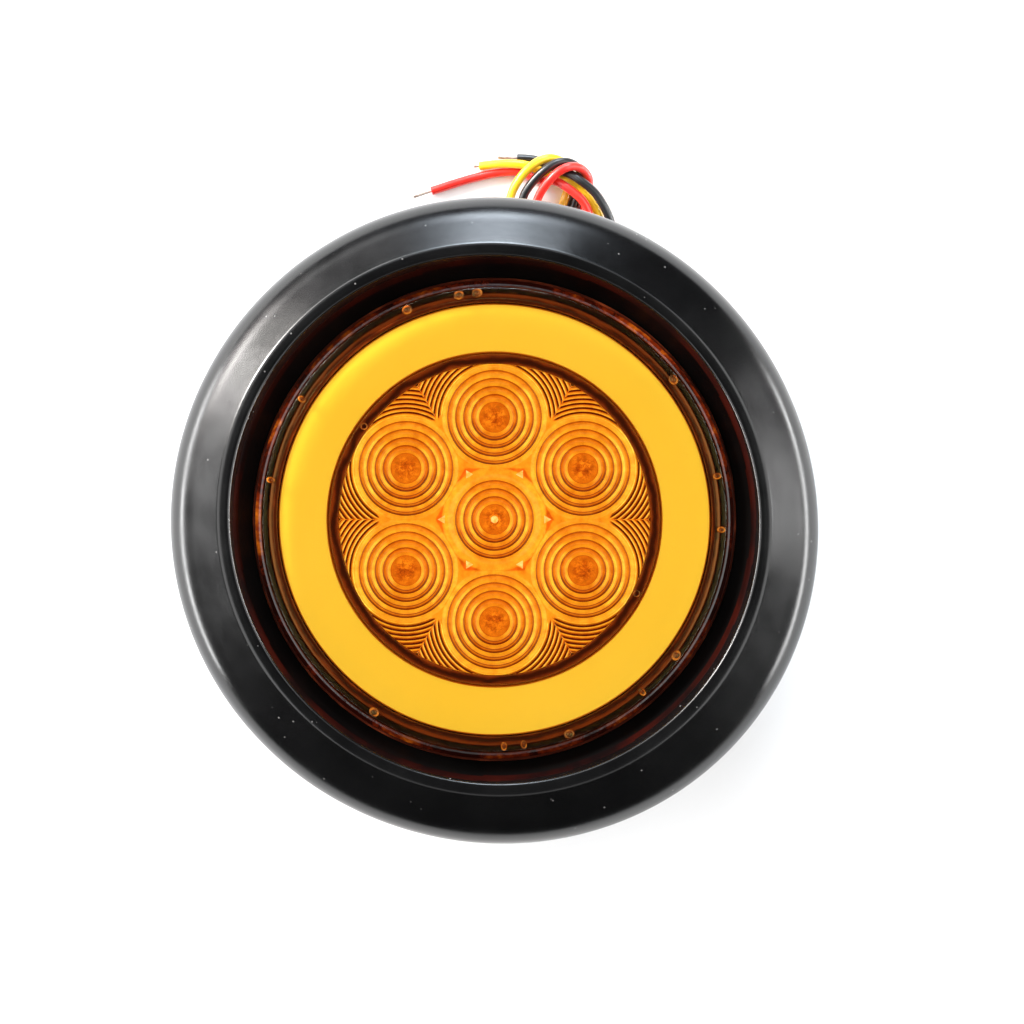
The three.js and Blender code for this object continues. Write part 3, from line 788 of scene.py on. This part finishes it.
def optic_cells(rays=180):
    """Seven ring lenses, each ending where it meets the next: verts, faces, radii and tones of painted
    light and shade.
    """
    verts = []
    faces = []
    radii = []
    tones = []
    for centre in CELLS:
        base = len(verts)
        rings = relief(centre)
        for k in range(rays):
            angle = 2 * math.pi * k / rays
            direction = Vector((math.cos(angle), math.sin(angle)))
            reach = cell_reach(centre, direction)
            sideways = smooth_share(abs(direction.x), 0.45, 0.85)
            lower = smooth_share(-direction.y, 0.05, 0.5)
            for radius, height, tone, painted_glint, painted_lower_shade in rings:
                # Painted light: a painted highlight on the sides facing left and right, and painted shade
                # on the lower half.
                tone += painted_glint * (0.02 + 0.22 * sideways) - 0.5 * painted_lower_shade * lower
                if radius > reach:
                    radius = reach
                    height = REST
                    tone = 0.78
                spot = centre + direction * radius
                if radius > CIRCLE_R:
                    share = smooth_share(spot.length, CHEVRON_R, CHEVRON_R + 0.8)
                    height = height * share + REST * (1 - share)
                    tone = SLOPE_TONE + (tone + 0.06 * painted_glint - SLOPE_TONE) * share
                verts.append((spot.x * MM, spot.y * MM, (LENS_BACK_Z - height) * MM))
                radii.append(radius)
                tones.append(tone)
        count = len(rings)
        for k in range(rays):
            for i in range(count - 1):
                a = base + k * count + i
                b = base + (k + 1) % rays * count + i
                faces.append((a, a + 1, b + 1, b))
    return verts, faces, radii, tones


def spike(spot, size, height, turn):
    """A three-sided pyramid standing on the relief where three cells meet."""
    corners = []
    for k in range(3):
        angle = turn + 2 * math.pi * k / 3
        corners.append((
            spot.x * MM + size * MM * math.cos(angle), spot.y * MM + size * MM * math.sin(angle),
            (LENS_BACK_Z - 0.15) * MM,
        ))
    tip = (spot.x * MM, spot.y * MM, (LENS_BACK_Z + height) * MM)
    return [*corners, tip], [(0, 1, 3), (1, 2, 3), (2, 0, 3), (0, 2, 1)]


# Angles of the small moulded marks near the face's edge, in degrees, and their distance from the axis.
MARK_R = 47.45
MARK_Z = 42.6
LARGE_MARKS = (112.6, 99, 94.4, 38, -36.8, -70.8, -122)
SMALL_MARKS = (170, 148, 11, -2.6, -49.4, -82.6, -87.6)


# The ways, in degrees, round which the lens's ledge has the most painted light, and how far that painted
# light spreads.
BRIGHT_WAYS = (168, 35)
BRIGHT_SPREAD = 30
# The two locating nubs by the dark ring, as angles in degrees.
NUBS = (144.5, -27.5)
NUB_R = 33.5
NUB_Z = 42.4


def ringlet(middle, across, along, thick, turn, sides=28):
    """A small flattened ring lying under the face, as verts and faces. Sizes in mm."""
    verts = []
    faces = []
    section = 8
    for k in range(sides):
        angle = 2 * math.pi * k / sides
        for j in range(section):
            roll = 2 * math.pi * j / section
            reach = 1 + thick / along * math.cos(roll)
            x = along * math.cos(angle) * reach
            y = across * math.sin(angle) * reach
            verts.append((
                (middle[0] + x * math.cos(turn) - y * math.sin(turn)) * MM,
                (middle[1] + x * math.sin(turn) + y * math.cos(turn)) * MM,
                (middle[2] + thick * 0.8 * math.sin(roll)) * MM,
            ))
    for k in range(sides):
        for j in range(section):
            a = k * section + j
            b = k * section + (j + 1) % section
            c = (k + 1) % sides * section + (j + 1) % section
            d = (k + 1) % sides * section + j
            faces.append((a, d, c, b))
    return verts, faces


def lens():
    """The amber cap. Its face and wall are clear; the ring lenses are moulded inside its centre."""
    wall_in = 47.4
    shell = [
        (OPTIC_R, LENS_BACK_Z), (OPTIC_R + 0.25, LENS_BACK_Z + 0.35, 0.1),
        (34.4, LENS_BACK_Z + 0.35, 0.1), (34.7, LENS_BACK_Z), (45.45, LENS_BACK_Z - 0.4),
        (45.6, LENS_BACK_Z + 0.2, 0.1), (46.3, LENS_BACK_Z + 0.2, 0.1), (46.5, LENS_BACK_Z - 0.5),
        (wall_in, LENS_BACK_Z - 0.6, 0.3), (wall_in + 0.1, 37.0), (wall_in + 0.1, 35.25),
        (54.4, 35.25, 0.3), (54.4, 37.3, 0.3), (50.35, 37.35), (50.2, 38.7, 0.25), (49.45, 39.1, 0.2),
        (48.95, 39.2, 0.2), (48.75, 42.2), (48.45, 43.13, 0.25), (47.2, 43.18, 0.6),
        (40, 43.3), (30, 43.38), (15, 43.46), (0.01, LENS_FACE_Z),
    ]
    outline = [(p.x, p.y) for p in rounded(shell)]
    verts, faces = lathe(outline, 240, closed=False)
    cover, body, clear, optic, edge, spark, mark = range(7)
    index = []
    for face in faces:
        middle = [sum(verts[v][axis] for v in face) / 4 / MM for axis in range(3)]
        radius = math.hypot(middle[0], middle[1])
        if middle[2] < 41.5 and radius < wall_in + 0.2:
            index.append(clear if 34.6 < radius < 45.5 else body)
        elif middle[2] < 38.5:
            index.append(body)
        elif radius > 48.98 and middle[2] < 39.3:
            index.append(edge)
        elif radius > 48.7 and middle[2] < 42.1:
            index.append(body)
        else:
            index.append(cover)
    radii = [10.0] * len(verts)
    # Each point's painted light for the ledge, brightest towards BRIGHT_WAYS.
    tones = []
    for x, y, _ in verts:
        angle = math.degrees(math.atan2(y, x)) % 360
        near = max(1 - abs(angle - way) / BRIGHT_SPREAD for way in BRIGHT_WAYS)
        tones.append(0.15 + 0.85 * max(0, near))

    def add(new_verts, new_faces, material, radius, tone=1.0):
        base = len(verts)
        verts.extend(new_verts)
        faces.extend(tuple(base + v for v in face) for face in new_faces)
        index.extend([material] * len(new_faces))
        radii.extend(radius if isinstance(radius, list) else [radius] * len(new_verts))
        tones.extend(tone if isinstance(tone, list) else [tone] * len(new_verts))

    add_verts, add_faces, add_radii, add_tones = optic_cells()
    add(add_verts, add_faces, optic, add_radii, add_tones)
    for k in range(6):
        turn = math.radians(60 * k)
        spot = Vector((math.cos(turn), math.sin(turn))) * SPIKE_R
        add(*spike(spot, 1.0, 0.12, turn), spark, 10.0)
    pip = [(0.01, 41.05), (0.5, 41.0), (0.85, 40.85), (1.0, 40.6)]
    pip_verts, pip_faces = lathe(pip, 10, closed=False)
    add(pip_verts, [tuple(reversed(f)) for f in pip_faces], spark, 1.0)
    for angles, size in ((LARGE_MARKS, 0.85), (SMALL_MARKS, 0.5)):
        for degrees in angles:
            turn = math.radians(degrees)
            spot = (MARK_R * math.cos(turn), MARK_R * math.sin(turn), MARK_Z)
            add(*ringlet(spot, size, 0.7, 0.22, turn), mark, 2.0)
            add(*ringlet(spot, size * 0.4, 0.28, 0.25, turn), body, 2.0)
    for degrees in NUBS:
        turn = math.radians(degrees)
        spot = (NUB_R * math.cos(turn), NUB_R * math.sin(turn), NUB_Z)
        add(*ringlet(spot, 0.62, 0.62, 0.13, turn), mark, 2.0)
    materials = [COVER, BODY_AMBER, CLEAR, OPTIC, EDGE_AMBER, SPARK, MARK]
    made = piece(
        "lens_amber", verts, faces, materials, "lamp", ("lens",), 25, index,
    )
    for attribute, values in (("cell_radius", radii), ("painted_light_tone", tones)):
        layer = made.data.attributes.new(attribute, "FLOAT", "POINT")
        layer.data.foreach_set("value", values)


lens()


# ---- halo ring ----------------------------------------------------------------------------------
HALO_IN_R = 34.9
HALO_OUT_R = 45.3
HALO_TOP_Z = 40.3
HALO_FOOT_Z = 30.5


def halo():
    """The milky ring: an upside-down channel over the ring emitters, with orange sides."""
    outline = rounded([
        (HALO_IN_R, HALO_FOOT_Z), (36.5, HALO_FOOT_Z), (36.5, 37.7, 0.8), (43.7, 37.7, 0.8),
        (43.7, HALO_FOOT_Z), (HALO_OUT_R, HALO_FOOT_Z),
        (HALO_OUT_R, HALO_TOP_Z, 0.6), (HALO_IN_R, HALO_TOP_Z, 0.6),
    ])
    verts, faces = lathe([(p.x, p.y) for p in outline], 180)
    index = []
    for face in faces:
        radius, height = face_place(verts, face)
        on_side = radius < HALO_IN_R + 0.4 or radius > HALO_OUT_R - 0.4
        index.append(1 if on_side and height < HALO_TOP_Z - 0.02 else 0)
    made = piece(
        "halo_ring", verts, faces, [HALO, HALO_SIDE], "lamp", ("halo_diffuser",),
        indices=index,
    )
    outward(made)


halo()


# ---- housing ------------------------------------------------------------------------------------
def stadium(length, width, count=40):
    """Points round a bar with round ends, anticlockwise, as (x, y) in mm."""
    straight = (length - width) / 2
    points = []
    for end in (1, -1):
        for k in range(count // 2):
            angle = math.pi * (k / (count / 2 - 1)) - end * math.pi / 2
            points.append((end * straight + width / 2 * math.cos(angle), width / 2 * math.sin(angle)))
    return points


def loft(levels, count=40):
    """Verts and faces of stacked stadium outlines (length, width, z), capped at both ends."""
    verts = []
    for length, width, z in levels:
        verts += [(x * MM, y * MM, z * MM) for x, y in stadium(length, width, count)]
    faces = []
    for i in range(len(levels) - 1):
        for k in range(count):
            a = i * count + k
            b = i * count + (k + 1) % count
            faces.append((a, b, b + count, a + count))
    faces.append(tuple(reversed(range(count))))
    faces.append(tuple(range(len(verts) - count, len(verts))))
    return verts, faces


def drum(x, y, radius, low, high, sides=32):
    """Verts and faces of an upright cylinder."""
    path = [Vector((x, y, low)) * MM, Vector((x, y, high)) * MM]
    return tube(path, [radius * MM] * 2, sides)


def tool(verts, faces):
    """A short-lived object used to cut or join another."""
    mesh = bpy.data.meshes.new("tool")
    mesh.from_pydata(verts, [], faces)
    made = bpy.data.objects.new("tool", mesh)
    scene.collection.objects.link(made)
    outward(made)
    return made


def combine(target, others, operation):
    """Cut or join a piece with other objects, then remove them."""
    for other in others:
        modifier = target.modifiers.new("combine", "BOOLEAN")
        modifier.operation = operation
        modifier.solver = "EXACT"
        modifier.object = other
        graph = bpy.context.evaluated_depsgraph_get()
        result = bpy.data.meshes.new_from_object(target.evaluated_get(graph))
        target.modifiers.clear()
        target.data = result
        bpy.data.objects.remove(other)


PIN_PLACES = [(-10, 0), (0, 4), (10, 0)]


def housing():
    """The cup with its plug tower, and the recess, pin holes and moulding marks cut in its back."""
    outline = rounded([
        (0.01, 11.0), (47.0, 11.0, 1.5), (49.95, 15.0, 2.0), (49.95, 31.65, 0.3), (54.4, 31.65, 0.4),
        (54.4, 34.85, 0.4), (47.2, 34.85, 0.2), (47.2, 38.8, 0.3), (46.6, 39.65, 0.3), (45.7, 39.65, 0.2),
        (45.7, 28.3), (43.7, 28.3, 0.2), (43.0, 13.6, 1.0), (0.01, 13.6),
    ])
    verts, faces = lathe([(p.x, p.y) for p in outline], 160)
    made = piece("housing_cup", verts, faces, [HOUSING], "lamp", ("housing",), 30)
    outward(made)
    tower = tool(*loft([(44, 28, 12), (44, 28, 22)]))
    combine(made, [tower], "UNION")
    recess = tool(*loft([(38.6, 22.6, 9), (38.6, 22.6, 19.4), (38.0, 22.0, 20)]))
    holes = [tool(*drum(x, y, 1.9, 19, 23)) for x, y in PIN_PLACES]
    marks = []
    for k in range(3):
        turn = math.radians(90 + 120 * k)
        marks.append(tool(*drum(33 * math.cos(turn), 33 * math.sin(turn), 3.2, 10.5, 11.25)))
    groove_verts, groove_faces = lathe([(40.2, 10.5), (41.4, 10.5), (41.4, 11.4), (40.2, 11.4)], 96)
    combine(made, [recess, *holes, *marks, tool(groove_verts, groove_faces)], "DIFFERENCE")
    made.data.shade_smooth()
    made.data.set_sharp_from_angle(angle=math.radians(30))


housing()


# ---- plug ---------------------------------------------------------------------------------------
def plug():
    """The moulded plug: body, nose with a sealing bead, a ribbed boss for the wires and pin bores."""
    levels = [
        (39.0, 24.0, 0.0), (40.6, 25.6, 0.25), (41.6, 26.6, 0.8), (42.0, 27.0, 1.6), (42.0, 27.0, 7.6),
        (41.7, 26.7, 8.5), (41.0, 26.0, 9.0), (40.0, 25.0, 9.2), (38.0, 22.0, 9.2), (38.0, 22.0, 12.2),
        (38.3, 22.3, 12.6), (38.3, 22.3, 13.4), (38.0, 22.0, 13.8), (38.0, 22.0, 18.9), (37.4, 21.4, 19.3),
        (36.6, 20.6, 19.5),
    ]
    verts, faces = loft(levels)
    made = piece("plug_moulding", verts, faces, [VINYL], "pigtail", ("plug_body",), 38)
    outward(made)
    combine(made, [tool(*boss())], "UNION")
    bores = [tool(*drum(x, y, 2.9, 3, 21)) for x, y in PIN_PLACES]
    combine(made, bores, "DIFFERENCE")
    made.data.shade_smooth()
    made.data.set_sharp_from_angle(angle=math.radians(38))


BOSS_START_Y = 8.0
BOSS_END_Y = 20.0
BOSS_STEP = 0.6
CORNER_STEPS = 5


def boss():
    """A tapered block over the wires, with rounded edges and shallow strain-relief ribs."""
    sections = []
    for step in range(round((BOSS_END_Y - BOSS_START_Y) / BOSS_STEP) + 1):
        y = BOSS_START_Y + step * BOSS_STEP
        half = 10.4 - 2.3 * (y - BOSS_START_Y) / (BOSS_END_Y - BOSS_START_Y)
        rib = 0.35 if step % 4 in (2, 3) and 13 < y < 19.6 else 0.0
        sections.append((y, half - rib, 1.4 + rib, 7.0 - rib))
    verts = []
    corner = 1.0
    for y, half, low, high in sections:
        for cx, cz, start in (
            (half - corner, high - corner, 0), (-half + corner, high - corner, 90),
            (-half + corner, low + corner, 180), (half - corner, low + corner, 270),
        ):
            for k in range(CORNER_STEPS):
                angle = math.radians(start + 22.5 * k)
                verts.append((
                    (cx + corner * math.cos(angle)) * MM, y * MM, (cz + corner * math.sin(angle)) * MM,
                ))
    ring = 4 * CORNER_STEPS
    faces = []
    for i in range(len(sections) - 1):
        for k in range(ring):
            a = i * ring + k
            b = i * ring + (k + 1) % ring
            faces.append((a, b, b + ring, a + ring))
    faces.append(tuple(reversed(range(ring))))
    faces.append(tuple(range(len(verts) - ring, len(verts))))
    return verts, faces


plug()


# ---- carried CAD pieces -------------------------------------------------------------------------
CARRIED = {
    "reflector": CHROME, "circuit_board": MASK, "potting": EPOXY, "driver_chip": CHIP,
    "polarity_diode": CHIP, "resistor_1": CERAMIC, "resistor_2": CERAMIC, "led_center": EMITTER,
    "pin_marker": BRASS, "pin_ground": BRASS, "pin_turn": BRASS,
    "sleeve_marker": BRASS, "sleeve_ground": BRASS, "sleeve_turn": BRASS,
}
for k in range(6):
    CARRIED[f"led_outer_{k + 1}"] = EMITTER
for k in range(12):
    CARRIED[f"halo_led_{k + 1}"] = EMITTER
for k in range(3):
    CARRIED[f"board_screw_{k + 1}"] = STEEL
for name, material in CARRIED.items():
    node = bpy.data.objects[name]
    for entry in node.material_slots:
        entry.material = material


# ---- floor and light ----------------------------------------------------------------------------
FLOOR_REACH = 3.0
floor_paint = Paint("floor_pale", (0.93, 0.93, 0.93), 0.7)
floor_paint.mottle(3, (0.925, 0.925, 0.925), (0.935, 0.935, 0.935))
floor_mesh = bpy.data.meshes.new("floor")
floor_corners = [(x * FLOOR_REACH, y * FLOOR_REACH, 0) for x, y in ((-1, -1), (1, -1), (1, 1), (-1, 1))]
floor_mesh.from_pydata(floor_corners, [], [(0, 1, 2, 3)])
floor_mesh.materials.append(floor_paint.material)
floor = bpy.data.objects.new("floor", floor_mesh)
scene.collection.objects.link(floor)

world = bpy.data.worlds.new("world")
world.use_nodes = True
world.node_tree.nodes["Background"].inputs["Color"].default_value = (0.9, 0.95, 1.0, 1)
world.node_tree.nodes["Background"].inputs["Strength"].default_value = 0.03
scene.world = world


def soft_light(name, direction, distance, size, power, color=(1, 1, 1)):
    """A rectangular studio light aimed at the middle of the object. direction is azimuth, elevation."""
    azimuth, elevation = (math.radians(a) for a in direction)
    data = bpy.data.lights.new(name, "AREA")
    data.shape = "RECTANGLE"
    data.size, data.size_y = size
    data.energy = power
    data.color = color
    lamp = bpy.data.objects.new(name, data)
    flat = math.cos(elevation)
    away = Vector((math.cos(azimuth) * flat, math.sin(azimuth) * flat, math.sin(elevation)))
    target = Vector((0, 0, 0.03))
    lamp.location = target + away * distance
    lamp.rotation_euler = (-away).to_track_quat("-Z", "Y").to_euler()
    scene.collection.objects.link(lamp)


# The high and low lights model the edges, and the patches are what the rubber's sloping face mirrors.
soft_light("left_high", (180, 52), 1.3, (1.5, 0.85), 12)
soft_light("right_high", (0, 52), 1.3, (1.5, 0.85), 12)
soft_light("top_high", (90, 50), 1.3, (0.9, 0.5), 2.5, (0.9, 0.95, 1.0))
soft_light("front_high", (270, 50), 1.3, (1.2, 0.5), 2)
soft_light("left_low", (180, 6), 1.0, (1.1, 0.12), 12)
soft_light("right_low", (0, 6), 1.0, (1.1, 0.12), 10)
soft_light("left_patch", (147, 26), 2.0, (0.34, 0.5), 38, (1.0, 0.96, 0.93))
soft_light("left_patch_wide", (146, 26), 2.0, (0.8, 0.56), 36, (1.0, 0.96, 0.93))
soft_light("left_spill", (120, 26), 2.0, (0.8, 0.52), 9)
soft_light("top_patch", (90, 26), 2.0, (0.4, 0.56), 15, (0.8, 0.9, 1.0))
soft_light("top_patch_wide", (89, 26), 2.0, (0.95, 0.6), 20, (0.8, 0.9, 1.0))
soft_light("right_patch", (4, 25), 2.0, (0.3, 0.36), 2.6)
soft_light("right_patch_wide", (6, 25), 2.0, (0.95, 0.44), 5)
